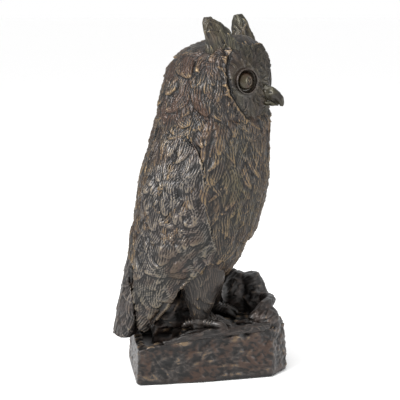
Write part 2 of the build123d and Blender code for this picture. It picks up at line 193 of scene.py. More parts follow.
def scattered(points, gap, seed, where=None):
    """Numbers of points about `gap` apart, all over a skin or where a mask allows."""
    order = np.random.RandomState(seed).permutation(len(points))
    tries = int(40 * len(points) / max(gap * gap, 1)) + 2000
    if where is not None:
        order = order[where[order]]
    taken = {}
    chosen = []
    for number in order[:tries]:
        place = points[number]
        cell = tuple((place // gap).astype(int))
        near = (taken.get((cell[0] + i, cell[1] + j, cell[2] + k), ())
                for i, j, k in product((-1, 0, 1), repeat=3))
        if all(np.sum((place - other) ** 2) > gap * gap for group in near for other in group):
            taken.setdefault(cell, []).append(place)
            chosen.append(number)
    return np.array(chosen)


def combed(points, normals, chosen, flow, long, wide, lift, pitch, seed, stray=0.35, groove=0.32):
    """Relief of overlapping tufts: the height over the skin. Sizes vary from tuft to tuft."""
    draw = np.random.RandomState(seed)
    tree = KDTree(len(points))
    for number, place in enumerate(points):
        tree.insert(place, number)
    tree.balance()
    height = np.zeros(len(points))
    for number in chosen:
        centre, normal = points[number], normals[number]
        ahead = flow[number] - (flow[number] @ normal) * normal
        ahead /= max(np.linalg.norm(ahead), 1e-6)
        side = np.cross(normal, ahead)
        turn = draw.normal(0, stray)
        straight, ahead = ahead, ahead * math.cos(turn) + side * math.sin(turn)
        side = side * math.cos(turn) - straight * math.sin(turn)
        length = long * draw.uniform(0.7, 1.3)
        width = wide * draw.uniform(0.7, 1.3)
        top = lift * draw.uniform(0.6, 1.25)
        bend = draw.normal(0, 0.22) / length
        phase = draw.uniform(0, 6.3)
        fan = draw.uniform(-0.25, 0.35)
        found = tree.find_range(centre, length * 0.62)
        index = np.fromiter((hit[1] for hit in found), int, len(found))
        index = index[normals[index] @ normal > 0.15]
        offset = points[index] - centre
        along = offset @ ahead
        across = offset @ side - bend * along * along * 4
        share = along / length + 0.5
        # A tuft is narrow at its root, widest just before the middle and round at its tip
        half = width / 2 * np.sqrt(np.clip(1 - ((share - 0.42) / 0.58) ** 2, 0.0001, 1))
        inside = (share > 0) & (share < 1)
        edge = np.abs(across) / half
        dome = np.sqrt(np.clip(1 - edge ** 2, 0, 1))
        rise = top * (0.15 + 0.85 * np.clip(share, 0, 1)) * dome ** 0.6
        # The comb lines fan out or close in along the tuft
        comb = np.cos(2 * math.pi * across * (1 + fan * (0.5 - share)) / pitch + phase)
        rise = rise + groove * (comb - 0.4) * dome * ramp(share, 0.0, 0.25)
        rise = np.where(inside & (edge < 1), rise, 0)
        better = rise > height[index]
        height[index[better]] = rise[better]
    return height


def strands(points, across, pitch, waver, seed):
    """Long wavy comb lines that run everywhere at right angles to `across`, from -1 to 1."""
    place = across + waver * lumps(points, 16, seed) + 0.35 * waver * lumps(points, 6, seed + 1)
    strong = ramp(lumps(points, 9, seed + 2), -0.5, 0.35)
    return np.cos(2 * math.pi * place / pitch) * (0.35 + 0.65 * strong)


def finish_relief(piece, height, rounds=10, fall=1.1, warm=0.45, moss=0.0):
    """Store how far each point stands out of its neighbourhood, and how brown and how olive it is."""
    near = height - spread_out(piece, height, rounds)
    # The broad term also darkens wide dips, not only fine hollows: painted shade like ambient occlusion, on
    # top of the patina in the hollows
    wide = height - spread_out(piece, height, rounds * 6)
    mark(piece, "relief", 0.5 + (0.65 * near + 0.5 * wide) / fall)
    mark(piece, "warm", np.broadcast_to(warm, height.shape))
    mark(piece, "moss", np.broadcast_to(moss, height.shape))


def round_about(points, centre, reach):
    """1 at a centre, fading to 0 about `reach` away."""
    return np.exp(-np.sum(((points - np.array(centre)) / np.array(reach)) ** 2, axis=1))


def bronze(name, hollow_patina_and_shade, body, painted_highlight, rubbed, warm, olive=(0.040, 0.036, 0.016), gloss=0.42,
           grain=0.25):
    """Patina by relief: dark patina and painted shade in hollows, brown ground, a greyish painted highlight
    on the wax, rubbed metal on the edges.
    """
    material = bpy.data.materials.new(name)
    material.use_nodes = True
    nodes, links = material.node_tree.nodes, material.node_tree.links
    shader = nodes["Principled BSDF"]
    place = nodes.new("ShaderNodeTexCoord").outputs["Object"]

    def noise(scale, detail, roughness=0.6, twist=0.0):
        node = nodes.new("ShaderNodeTexNoise")
        node.inputs["Scale"].default_value = scale
        node.inputs["Detail"].default_value = detail
        node.inputs["Roughness"].default_value = roughness
        node.inputs["Distortion"].default_value = twist
        links.new(place, node.inputs["Vector"])
        return node.outputs["Fac"]

    def remap(value, low, high, out_low=0.0, out_high=1.0):
        node = nodes.new("ShaderNodeMapRange")
        node.interpolation_type = "SMOOTHSTEP"
        limits = {"From Min": low, "From Max": high, "To Min": out_low, "To Max": out_high}
        for socket, number in limits.items():
            node.inputs[socket].default_value = number
        links.new(value, node.inputs["Value"])
        return node.outputs["Result"]

    def maths(operation, a, b):
        node = nodes.new("ShaderNodeMath")
        node.operation = operation
        for socket, value in zip(node.inputs, (a, b)):
            if isinstance(value, float):
                socket.default_value = value
            else:
                links.new(value, socket)
        return node.outputs[0]

    def tinted(share, below, colour):
        node = nodes.new("ShaderNodeMix")
        node.data_type = "RGBA"
        links.new(share, node.inputs["Factor"])
        links.new(below, node.inputs["A"])
        node.inputs["B"].default_value = (*colour, 1)
        return node.outputs["Result"]

    def stored(attribute):
        node = nodes.new("ShaderNodeAttribute")
        node.attribute_name = attribute
        return node.outputs["Fac"]

    relief = stored("relief")
    grit = noise(900, 4)
    # Relief plus fine grit: it drives rubbed wear and also the painted shade and painted highlight of the
    # ramp below
    wear_and_painted_light = maths("ADD", relief, remap(grit, 0.3, 0.7, -0.09, 0.09))
    layers = nodes.new("ShaderNodeValToRGB")
    stops = layers.color_ramp.elements
    for _ in range(2):
        stops.new(0.5)
    # Low relief takes a near-black colour, partly patina in the hollows and partly painted shade. The grey
    # stop on raised relief is a painted highlight standing in for reflected studio light.
    shades = ((0.30, hollow_patina_and_shade), (0.50, body), (0.74, painted_highlight), (1.0, rubbed))
    for stop, (position, colour) in zip(stops, shades):
        stop.position = position
        stop.color = (*colour, 1)
    links.new(wear_and_painted_light, layers.inputs["Fac"])
    colour = layers.outputs["Color"]
    lit = remap(relief, 0.3, 0.6, 0.15, 1.0)
    browned = maths("MULTIPLY", remap(noise(42, 5, 0.62, 0.6), 0.42, 0.62), lit)
    browned = maths("MULTIPLY", browned, stored("warm"))
    colour = tinted(browned, colour, warm)
    greened = maths("MULTIPLY", remap(noise(60, 4, 0.6, 0.4), 0.35, 0.6), lit)
    greened = maths("MULTIPLY", greened, stored("moss"))
    colour = tinted(greened, colour, olive)
    links.new(colour, shader.inputs["Base Color"])
    shader.inputs["Metallic"].default_value = 0.55
    links.new(remap(noise(160, 3), 0.3, 0.7, gloss - 0.07, gloss + 0.12), shader.inputs["Roughness"])
    shader.inputs["Coat Weight"].default_value = 0.18
    shader.inputs["Coat Roughness"].default_value = 0.28
    bump = nodes.new("ShaderNodeBump")
    bump.inputs["Strength"].default_value = grain
    bump.inputs["Distance"].default_value = 0.0004
    links.new(maths("ADD", grit, noise(330, 5, 0.7)), bump.inputs["Height"])
    links.new(bump.outputs["Normal"], shader.inputs["Normal"])
    return material


def settle(piece, material, slot, *nodes):
    """Give a finished piece its metal and its place in the model."""
    piece.data.materials.clear()
    piece.data.materials.append(material)
    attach(piece, "root")
    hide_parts(*nodes)


feather_metal = bronze(
    "feather_patina", hollow_patina_and_shade=(0.0015, 0.0013, 0.0012), body=(0.0115, 0.0088, 0.0068),
    painted_highlight=(0.047, 0.038, 0.030), rubbed=(0.150, 0.098, 0.044), warm=(0.034, 0.0150, 0.0076),
    gloss=0.45,
)
torso_rows = (
    (78, 2, 54, 20), (84, -10, 64, 30), (90, -18, 68, 35), (97, -23.5, 71, 40), (105, -28.5, 72.5, 44),
    (112, -31.5, 72, 46.5), (119, -35, 71.2, 48.6), (126, -40, 69.8, 50.4), (134, -44, 68.6, 51.6),
    (148, -47.5, 66.3, 52.6), (163, -51, 64.4, 53.2), (177, -52.8, 61.4, 53.2), (191, -53, 57.8, 52.8),
    (205, -52.5, 53.6, 51.4), (213, -52.5, 51.5, 50.8), (227, -53.5, 48.6, 49), (240, -52, 43, 45),
)
torso = moulded("body_casting_skin", [stacked(torso_rows)], grain=0.85, ease=4)
points, normals = skin_of(torso)
flow = np.tile(DOWN, (len(points), 1))
flow[:, 1] = 0.25 * ramp(points[:, 1], -20, 30)
round_body = 52 * np.arctan2(points[:, 1] - 5, points[:, 0])
comb = strands(points, round_body, pitch=2.5, waver=5.0, seed=6)
swell = 3.0 * lumps(points * (1, 1, 0.55), 14, 3) + 1.3 * lumps(points * (1, 1, 0.5), 7, 4)
long = combed(
    points, normals, scattered(points, gap=12, seed=11), flow, long=44, wide=11, lift=1.7,
    pitch=2.5, seed=12, stray=0.16, groove=0.3,
)
short = combed(
    points, normals, scattered(points, gap=8, seed=13), flow, long=22, wide=7, lift=1.2, pitch=2.1,
    seed=14, stray=0.28, groove=0.25,
)
height = 0.6 * swell + 0.26 * comb + 1.05 * long + 0.95 * short
sink = 3.2 * ramp(points[:, 2] + 3 * lumps(points, 9, 5), 226, 236)
press(torso, points + normals * (height - 1.5 - sink)[:, None])
flank_size = (30, 20, 42)
flank = round_about(points, centre=(-48, -22, 172), reach=flank_size)
flank = flank + round_about(points, centre=(48, -22, 172), reach=flank_size)
finish_relief(
    torso, height, fall=0.95, warm=0.45 + 0.4 * ramp(points[:, 2], 205, 235), moss=0.85 * flank,
)
settle(torso, feather_metal, "feather_bronze", "body_casting")

# --- Wings ---------------------------------------------------------------------------------
# Two folded wings, cast apart as curved shells and pinned to the torso. Coverts lie over each other
# like scales, and the lower edge sweeps down and back towards the tail.

wing_metal = bronze(
    "wing_patina", hollow_patina_and_shade=(0.0015, 0.0014, 0.0014), body=(0.0130, 0.0108, 0.0096),
    painted_highlight=(0.064, 0.059, 0.057), rubbed=(0.135, 0.108, 0.075), warm=(0.036, 0.0165, 0.0092),
    gloss=0.42,
)

for side, node in ((-1, "right_wing"), (1, "left_wing")):
    wing = moulded(node + "_skin", [cad_form(node)], grain=0.85, ease=9)
    points, normals = skin_of(wing)
    facing = normals[:, 0] * side + 0.8 * np.maximum(normals[:, 1], 0)
    outer = facing > -0.1
    low = 1 - ramp(points[:, 2] + 0.9 * (points[:, 1] - 40), 84, 150)
    flow = np.stack((np.zeros(len(points)), 0.22 + 0.75 * low, -np.ones(len(points))), 1)
    seed = 30 + 5 * side
    comb = strands(
        points, points[:, 1] + 0.35 * points[:, 2] + 0.4 * low * points[:, 2], pitch=2.3,
        waver=4.0, seed=seed,
    )
    swell = 3.2 * lumps(points * (1, 1, 0.6), 14, 21) + 1.3 * lumps(points, 7, 22)
    broad = combed(
        points, normals, scattered(points, gap=13, seed=seed, where=outer), flow, long=34, wide=18,
        lift=2.4, pitch=2.3, seed=seed + 1, stray=0.3, groove=0.3,
    )
    fine = combed(
        points, normals, scattered(points, gap=8, seed=seed + 2, where=outer), flow, long=20,
        wide=9, lift=1.5, pitch=2.0, seed=seed + 3, stray=0.4, groove=0.28,
    )
    height = 0.6 * swell + 0.2 * comb + 1.1 * broad + 0.95 * fine
    shown = ramp(facing, -0.3, 0.25)
    edge = ramp(points[:, 2] + 5 * lumps(points, 8, 23), 206, 220) + 1 - ramp(np.abs(points[:, 0]), 14, 23)
    sink = 3.4 * edge + 1.2 * ramp(points[:, 2], 165, 205)
    press(wing, points + normals * ((height - 1.6 - sink) * shown)[:, None])
    warm = 0.25 + 0.6 * low + 0.5 * ramp(points[:, 2], 190, 220)
    finish_relief(wing, height * shown, fall=0.9, warm=warm, moss=0.3 * low)
    settle(wing, wing_metal, "wing_bronze", node)

# --- Tail ----------------------------------------------------------------------------------
# A stack of long straight feathers, cast as one wedge and brazed between the wing tips. It ends in a
# broken, ragged edge behind the rock.

tail = moulded("tail_skin", [cad_form("tail")], grain=0.8, ease=5)
points, normals = skin_of(tail)
flow = np.tile((0.0, 0.28, -1.0), (len(points), 1))
swell = 1.2 * lumps(points, 14, 41)
broad = combed(
    points, normals, scattered(points, gap=9, seed=42), flow, long=40, wide=10, lift=1.8,
    pitch=2.4, seed=43, stray=0.08, groove=0.25,
)
fine = combed(
    points, normals, scattered(points, gap=6, seed=44), flow, long=24, wide=6, lift=1.1, pitch=1.9,
    seed=45, stray=0.12, groove=0.3,
)
height = swell * 0.5 + broad * 0.7 + fine * 0.8
places = points + normals * (height - 1.1)[:, None]
ragged = 36.5 + 2.2 * lumps(points * (1, 1, 0), 7, 46)
places[:, 2] = np.where(places[:, 2] < ragged, ragged + 0.2 * (places[:, 2] - ragged), places[:, 2])
press(tail, places)
finish_relief(tail, height, warm=0.4)
settle(tail, wing_metal, "wing_bronze", "tail")

# --- Legs ----------------------------------------------------------------------------------
# Short feathered shanks, modelled as soft fluffy cones that reach up inside the belly feathers.

# Hip to ankle: the places that a leg runs through, and its half width and half depth at each
leg_lines = {
    "right_leg": (
        [(-25, 13, 120), (-25, 12.5, 102), (-25, 11.5, 88), (-25, 11.5, 77), (-25, 11, 66),
         (-25, 11, 57), (-25, 11, 52)],
        [(14, 23), (15.5, 23.5), (15, 22), (13.5, 17.5), (10.5, 12), (8.3, 9), (7.2, 7.6)],
    ),
    "left_leg": (
        [(24, 10, 120), (24, 5, 102), (23.5, -1, 88), (22.5, -3.5, 77), (22, -5, 66), (22, -5, 57),
         (22, -5, 52)],
        [(14, 22), (15, 21), (14, 19), (12.5, 15.5), (10, 11.5), (8, 9), (7, 7.6)],
    ),
}
for side, node in ((-1, "right_leg"), (1, "left_leg")):
    leg = moulded(node + "_skin", [drawn_out(*leg_lines[node])], grain=0.7, ease=3)
    points, normals = skin_of(leg)
    seed = 60 + 5 * side
    flow = np.tile((0.0, -0.25, -1.0), (len(points), 1))
    round_leg = 16 * np.arctan2(points[:, 1] - 5, points[:, 0] - 24 * side)
    comb = strands(points, round_leg, pitch=2.0, waver=3.0, seed=seed)
    fluff = combed(
        points, normals, scattered(points, gap=7, seed=seed), flow, long=20, wide=8, lift=1.0,
        pitch=1.9, seed=seed + 1, stray=0.25, groove=0.2,
    )
    height = 1.0 * lumps(points, 11, seed) + fluff * 0.7 + 0.18 * comb
    press(leg, points + normals * (height - 0.8)[:, None])
    finish_relief(leg, height, warm=0.2)
    settle(leg, feather_metal, "feather_bronze", node)

# --- Head ----------------------------------------------------------------------------------
# The head is its own hollow casting, turned to the owl's right and dowelled on the neck. The face is
# a pair of shallow dishes with combed rays round the eyes and a raised ruff for a rim.

HEAD_AXIS = (0.0, -8.0)
FACING = 33.0
ARC = 0.8


def across_face(points):
    """Millimetres round the head from the beak line, positive towards the owl's right."""
    turn = np.degrees(np.arctan2(-(points[:, 0] - HEAD_AXIS[0]), -(points[:, 1] - HEAD_AXIS[1]))) - FACING
    return ((turn + 180) % 360 - 180) * ARC


def on_head(arc, distance, z):
    """The place that many millimetres round the head and out from its axis."""
    turn = math.radians(arc / ARC + FACING)
    return np.array((HEAD_AXIS[0] - distance * math.sin(turn), HEAD_AXIS[1] - distance * math.cos(turn), z))


def off_line(u, v, line):
    """Distance of points (u, v) from an open line through given places."""
    nearest = np.full(len(u), 1e9)
    for (u0, v0), (u1, v1) in zip(line[:-1], line[1:]):
        run = np.array((u1 - u0, v1 - v0))
        share = np.clip(((u - u0) * run[0] + (v - v0) * run[1]) / (run @ run), 0, 1)
        nearest = np.minimum(nearest, np.hypot(u - u0 - share * run[0], v - v0 - share * run[1]))
    return nearest


EYE_ARC = 25.8
EYE_HEIGHT = 263.0
head_rows = (
    (213, -52, 50, 50), (226, -54, 48.5, 48.5), (241, -55.5, 45, 47.5), (255, -56, 41.5, 46.5),
    (269, -55.2, 37, 45), (283, -53.5, 29, 40), (291, -50, 20, 34), (297, -44, 9, 25), (301.5, -32, -7, 12),
)
# The edge of the face from the chin up: (millimetres round the head, height)
ruff_line = (
    (8, 220), (21.5, 226.5), (29, 232), (34.7, 239), (39.5, 246), (42.6, 252), (45.8, 260),
    (46.8, 268.7), (46.2, 276), (43.5, 284), (38, 290),
)
brow_line = ((5, 258), (10, 268), (22, 279), (40, 291))
head = moulded("head_casting_skin", [stacked(head_rows)], grain=0.62, ease=5)
points, normals = skin_of(head)
arc, z = across_face(points), points[:, 2]
beside = np.abs(arc)
rim = np.interp(z, [place[1] for place in ruff_line], [place[0] for place in ruff_line])
from_rim = off_line(beside + 1.1 * lumps(points, 6, 69), z + 0.8 * lumps(points, 5, 70), ruff_line)
inside = np.where((beside < rim) & (z > 219) & (z < 294), from_rim, -from_rim)
from_eye = np.hypot(beside - EYE_ARC, z - EYE_HEIGHT)
dish = -1.9 * ramp(inside, 0.5, 7) * (1 - ramp(z, 276, 292)) * ramp(from_eye, 11, 21)
valley = -3.4 * np.exp(-(arc / 8.0) ** 2) * ramp(z, 252, 262) * (1 - ramp(z, 276, 290))
cushion = 3.6 * np.exp(-(arc / 8.5) ** 2 - ((z - 248.5) / 8.5) ** 2)
under_chin = -1.8 * np.exp(-(arc / 11) ** 2 - ((z - 233) / 6.5) ** 2)
uneven = 0.55 + 0.45 * lumps(points, 4.5, 68)
ruff = 2.5 * uneven * np.exp(-(from_rim / 1.4) ** 2) * (1 - ramp(z, 282, 288))
trench = -1.5 * np.exp(-((inside - 3.2) / 1.6) ** 2) - 0.9 * np.exp(-((inside + 3.0) / 1.2) ** 2)
trench *= 1 - ramp(z, 280, 288)
brow = 1.9 * np.exp(-(off_line(beside, z, brow_line) / 3.4) ** 2)
moat = -0.5 * np.exp(-((from_eye - 12.4) / 1.2) ** 2)
socket = -3.0 * (1 - ramp(from_eye, 8.2, 10.4))
notch = -3.4 * np.exp(-((beside - 43) / 4.5) ** 2 - ((z - 288) / 4.0) ** 2)
face = dish + valley + notch + trench + cushion + under_chin + ruff + brow + moat + socket
eyes = [on_head(sign * EYE_ARC, 44.0, EYE_HEIGHT) for sign in (1, -1)]
nearer = np.where(arc[:, None] > 0, eyes[0], eyes[1])
rays = points - nearer
rays /= np.linalg.norm(rays, axis=1)[:, None] + 1e-6
inner = ramp(inside, -0.5, 1.5)[:, None]
crown = ramp(z, 276, 290)[:, None]
backward = -on_head(0, 1.0, 0) + np.array((HEAD_AXIS[0], HEAD_AXIS[1], 0))
fall = np.tile((0.0, 0.12, -1.0), (len(points), 1)) * (1 - crown)
fall = fall + crown * (backward + np.array((0, 0, -0.2)))
flow = rays * inner + fall * (1 - inner)
on_disc = inside > 0.5
rear = ramp(points[:, 1], -8, 14) * (1 - ramp(z, 284, 294))
spokes = 30 * np.arctan2(z - EYE_HEIGHT, beside - EYE_ARC)
radial = strands(points, spokes * (0.4 + from_eye / 30), pitch=2.2, waver=1.6, seed=67)
radial = radial * ramp(from_eye, 13, 16)
round_head = 48 * np.arctan2(points[:, 1] - HEAD_AXIS[1], points[:, 0])
comb = strands(points, round_head, pitch=2.5, waver=5.0, seed=66)
hair = combed(
    points, normals, scattered(points, gap=4.4, seed=71, where=on_disc & (from_eye > 14)), flow,
    long=13, wide=3.2, lift=1.1, pitch=1.5, seed=72, stray=0.16, groove=0.2,
)
nape = combed(
    points, normals, scattered(points, gap=14, seed=73, where=~on_disc & (z < 290)), flow, long=28,
    wide=19, lift=3.6, pitch=2.5, seed=74, stray=0.5, groove=0.28,
)
neck = combed(
    points, normals, scattered(points, gap=8, seed=75, where=~on_disc), flow, long=19, wide=7,
    lift=1.5, pitch=2.0, seed=76, stray=0.32, groove=0.28,
)
outside = 1 - inner[:, 0]
swell = 3.2 * lumps(points, 13, 77) + 1.3 * lumps(points, 6, 78)
height = hair + 0.3 * radial * inner[:, 0] + nape * (0.3 + 0.6 * rear) * outside + 0.8 * neck
height += (0.55 * swell + 0.24 * comb * (1 - crown[:, 0])) * outside + 0.5 * brow * lumps(points, 4, 79)
height = height * (0.2 + 0.8 * ramp(from_eye, 12, 14.5))
sink = 3.2 * (1 - ramp(z + 3 * lumps(points, 9, 5), 217, 227))
press(head, points + normals * (height + face - 1.5 - sink)[:, None])
gilt = ruff * ramp(lumps(points, 6, 65), -0.35, 0.25)
# Trench and notch lower the colour beyond their carved depth: painted shade in the groove beside the ruff
# and in the pit by each ear tuft. The gilt on the ruff is rubbed metal.
wear_and_painted_light = height * (1 - 0.5 * inner[:, 0]) + 0.6 * gilt + 0.25 * ruff + 0.3 * trench + 0.4 * notch
finish_relief(head, wear_and_painted_light, warm=0.35 + 0.6 * rear * outside, moss=0.35 * inner[:, 0])
settle(head, feather_metal, "feather_bronze", "head_casting")

# --- Ear tufts -----------------------------------------------------------------------------
# Two upright lobes, cast solid and brazed on the crown. Each has a second fold along its front edge,
# with a furrow between the two.

ear_metal = bronze(
    "ear_patina", hollow_patina_and_shade=(0.002, 0.0018, 0.0014), body=(0.015, 0.0135, 0.0090),
    painted_highlight=(0.060, 0.055, 0.042), rubbed=(0.22, 0.15, 0.065), warm=(0.040, 0.020, 0.010),
)
# A lobe and its fold, crown to tip: places, half width and half thickness at each, broad direction
ALONG = (0, 1, 0)
ASLANT = (0.55, 0.83, 0)
ear_lines = {
    "right_ear_tuft": (
        ([(-27, -3.5, 283), (-28, -2.5, 291), (-28.5, 0, 299), (-28.5, 3, 307), (-28, 5, 313),
          (-27.5, 5.5, 317)],
         [(10.5, 6), (9.4, 5.6), (8, 5), (6.6, 4.6), (5.4, 4.0), (3.4, 2.4)], ALONG),
        ([(-30.5, -18, 285), (-31, -15.5, 293), (-30.5, -10.5, 301), (-29.5, -4, 309), (-28.5, 1, 314)],
         [(6.5, 4.2), (6, 4), (5, 3.6), (3.6, 3), (1.8, 1.8)], ALONG),
    ),
    "left_ear_tuft": (
        ([(17, -35, 288), (18, -34, 297), (19, -32, 305), (20, -30, 313), (20.5, -29, 319.5)],
         [(11.5, 6), (10.8, 6), (9.2, 5.4), (7.4, 4.8), (4.6, 3.4)], ASLANT),
        ([(20, -43, 288), (20.5, -41.5, 296), (20.5, -38, 303), (20.5, -34, 310)],
         [(5, 3.8), (4.6, 3.6), (3.8, 3.0), (2.0, 1.8)], ASLANT),
    ),
}
for node, lines in ear_lines.items():
    ear = moulded(node + "_skin", [drawn_out(*line) for line in lines], grain=0.5, ease=6)
    points, normals = skin_of(ear)
    seed = 80 + len(node)
    flow = np.tile((0.0, 0.3, 1.0), (len(points), 1))
    strokes = combed(
        points, normals, scattered(points, gap=5, seed=seed), flow, long=18, wide=4.2, lift=0.9,
        pitch=1.6, seed=seed + 1, stray=0.15, groove=0.2,
    )
    height = strokes + 0.9 * lumps(points, 6, seed + 2)
    press(ear, points + normals * (height - 0.6)[:, None])
    finish_relief(ear, height, warm=0.5, moss=0.55)
    settle(ear, ear_metal, "feather_bronze", node)

# --- Eyes and eye rings --------------------------------------------------------------------
# Each eye is a polished dome with an upright oval cut in it for the pupil, set in a turned ring that
# leaves a dark channel round the dome.

eye_metal = bronze(
    "eye_polish", hollow_patina_and_shade=(0.002, 0.0016, 0.001), body=(0.020, 0.014, 0.008),
    painted_highlight=(0.055, 0.042, 0.024), rubbed=(0.26, 0.18, 0.09), warm=(0.055, 0.020, 0.010), gloss=0.22,
    grain=0.06,
)
ring_metal = bronze(
    "ring_patina", hollow_patina_and_shade=(0.002, 0.0016, 0.0014), body=(0.014, 0.011, 0.0085),
    painted_highlight=(0.050, 0.042, 0.032), rubbed=(0.22, 0.16, 0.09), warm=(0.035, 0.017, 0.009), gloss=0.33,
    grain=0.1,
)
UP = np.array((0.0, 0.0, 1.0))


def turned(profile, centre, out, cut=None, corners=96):
    """A form turned round the line `out` from (radius, height) places; cut lowers its points."""
    out = np.array(out, float) / np.linalg.norm(out)
    up = UP - (UP @ out) * out
    up /= np.linalg.norm(up)
    right = np.cross(up, out)
    rings = []
    for radius, lift in profile:
        angle = np.linspace(0, 2 * math.pi, corners, endpoint=False)
        a, b = radius * np.cos(angle), radius * np.sin(angle)
        drop = cut(a, b) if cut else np.zeros(corners)
        rings.append(centre + a[:, None] * right + b[:, None] * up + (lift - drop)[:, None] * out)
    return tube_of(np.array(rings))


def pupil(a, b):
    """Depth of the oval line cut in the dome, round a raised dot."""
    oval = np.hypot((a - 1.8) / 1.7, (b - 0.2) / 2.8)
    return 0.9 * np.exp(-((oval - 1) / 0.3) ** 2) - 0.3 * np.exp(-(oval / 0.4) ** 2)


EYE_SEAT = 42.0
dome = [(7.5, -2.0)] + [(7.5 * math.cos(a), 4.5 * math.sin(a)) for a in np.linspace(0, 1.55, 34)]
hoop = [
    (9.7, -2.0), (9.7, 2.8), (9.95, 3.8), (10.5, 4.2), (11.05, 3.9), (11.35, 2.9), (11.5, -2.0),
    (10.5, -2.6),
]
for sign, side in ((1, "right"), (-1, "left")):
    turn = math.radians(sign * EYE_ARC / ARC + FACING)
    out = (-math.sin(turn), -math.cos(turn), 0.02)
    middle = on_head(sign * EYE_ARC, EYE_SEAT, EYE_HEIGHT)
    domed = turned(dome, middle, out, lambda a, b: pupil(sign * a, b))
    eye = moulded(side + "_eye_dome", [domed], grain=0.24, ease=2)
    points, normals = skin_of(eye)
    cut = pupil(sign * ((points - middle) @ np.cross(UP, out)), points[:, 2] - EYE_HEIGHT)
    finish_relief(eye, 0.2 * lumps(points, 5, 90) - 0.9 * cut, warm=0.8, moss=0.7)
    settle(eye, eye_metal, "eye_bronze", side + "_eye")
    points, faces = turned(hoop + hoop[:1], middle, out)
    ring = moulded(side + "_eye_ring_band", [(points, faces[:-2])], grain=0.3, ease=3)
    points, normals = skin_of(ring)
    lift = (points - middle) @ np.array(out)
    height = 0.35 * lumps(points, 4, 92)
    press(ring, points + normals * (0.25 * height)[:, None])
    finish_relief(ring, height + 0.8 * ramp(lift, 3.4, 4.9))
    settle(ring, ring_metal, "ring_bronze", side + "_eye_ring")

# --- Beak ----------------------------------------------------------------------------------
# A solid hooked bill, cast apart, filed smooth and brazed between the eyes. The lower bill shows as a
# thin lip under the mouth line.

beak_metal = bronze(
    "beak_patina", hollow_patina_and_shade=(0.002, 0.0018, 0.0013), body=(0.0125, 0.0105, 0.0075),
    painted_highlight=(0.040, 0.035, 0.024), rubbed=(0.24, 0.175, 0.09), warm=(0.030, 0.017, 0.009),
    gloss=0.38, grain=0.15,
)
ahead = on_head(0, 1.0, 0) - np.array((HEAD_AXIS[0], HEAD_AXIS[1], 0))
aside = np.array((ahead[1], -ahead[0], 0.0))
upper = [on_head(0, distance, z) for distance, z in
         ((40, 252.5), (46, 252.6), (51.5, 251.4), (56, 248.8), (59, 245.8), (60.2, 243.2), (60, 241.2))]
upper_sizes = [(6.2, 7.2), (5.6, 6.8), (4.9, 6.0), (4.0, 4.8), (3.0, 3.5), (2.1, 2.4), (1.3, 1.4)]
lower = [on_head(0, distance, z) for distance, z in ((40, 244.2), (47, 244.2), (52, 243.4), (57.5, 242.2))]
lower_sizes = [(5.0, 3.6), (4.3, 3.0), (3.2, 2.3), (1.6, 1.3)]
bills = [drawn_out(upper, upper_sizes, aside), drawn_out(lower, lower_sizes, aside)]
beak = moulded("beak_bill", bills, grain=0.35, ease=5)
points, normals = skin_of(beak)
out = (points[:, :2] - np.array(HEAD_AXIS)) @ ahead[:2]
over = np.abs((points - on_head(0, 0, 0)) @ aside)
mouth = np.exp(-((points[:, 2] - np.interp(out, (42, 52, 57), (246.0, 245.4, 242.8))) / 0.55) ** 2)
mouth *= 1 - ramp(out, 56, 58.5)
nostril = np.exp(-(((out - 51.5) / 1.5) ** 2 + ((points[:, 2] - 252.8) / 0.9) ** 2)) * ramp(over, 1.5, 3)
height = -0.8 * mouth - 0.7 * nostril + 0.5 * lumps(points, 3, 95)
press(beak, points + normals * height[:, None])
# A lighter band along the top of the bill, in colour only: a painted highlight along the culmen
culmen_highlight = ramp(2.0 - over, 0, 2) * ramp(points[:, 2], 246, 252)
finish_relief(beak, height + 0.25 * culmen_highlight + 0.25 * lumps(points, 5, 96), warm=0.3, moss=0.7)
settle(beak, beak_metal, "beak_bronze", "beak")

# --- Feet ----------------------------------------------------------------------------------
# Four toes to a foot, each cast in one with its talon. The toes are ringed with scutes and the talons
# are smooth and grip the rock.

claw_metal = bronze(
    "claw_patina", hollow_patina_and_shade=(0.0015, 0.0013, 0.0013), body=(0.010, 0.0088, 0.008),
    painted_highlight=(0.056, 0.048, 0.042), rubbed=(0.22, 0.165, 0.10), warm=(0.030, 0.015, 0.008),
    gloss=0.32, grain=0.12,
)
for node, heel in (("right_foot", (-25, 11, 54)), ("left_foot", (22, -5, 54))):
    foot = moulded(node + "_skin", [cad_form(node)], grain=0.5, ease=4)
    points, normals = skin_of(foot)
    reach = np.linalg.norm(points - np.array(heel), axis=1)
    scutes = np.cos(2 * math.pi * reach / 2.7) * (1 - ramp(reach, 15, 18)) * ramp(normals[:, 2], -0.2, 0.4)
    height = 0.28 * scutes + 0.5 * lumps(points, 5, 101)
    press(foot, points + normals * height[:, None])
    finish_relief(foot, height)
    settle(foot, claw_metal, "claw_bronze", node)

# --- Rock base -----------------------------------------------------------------------------
# A squared rock, cast hollow with an open underside. Its sides were slabbed on with a knife in level
# strokes, and its rough top has a dark hollow behind the feet.

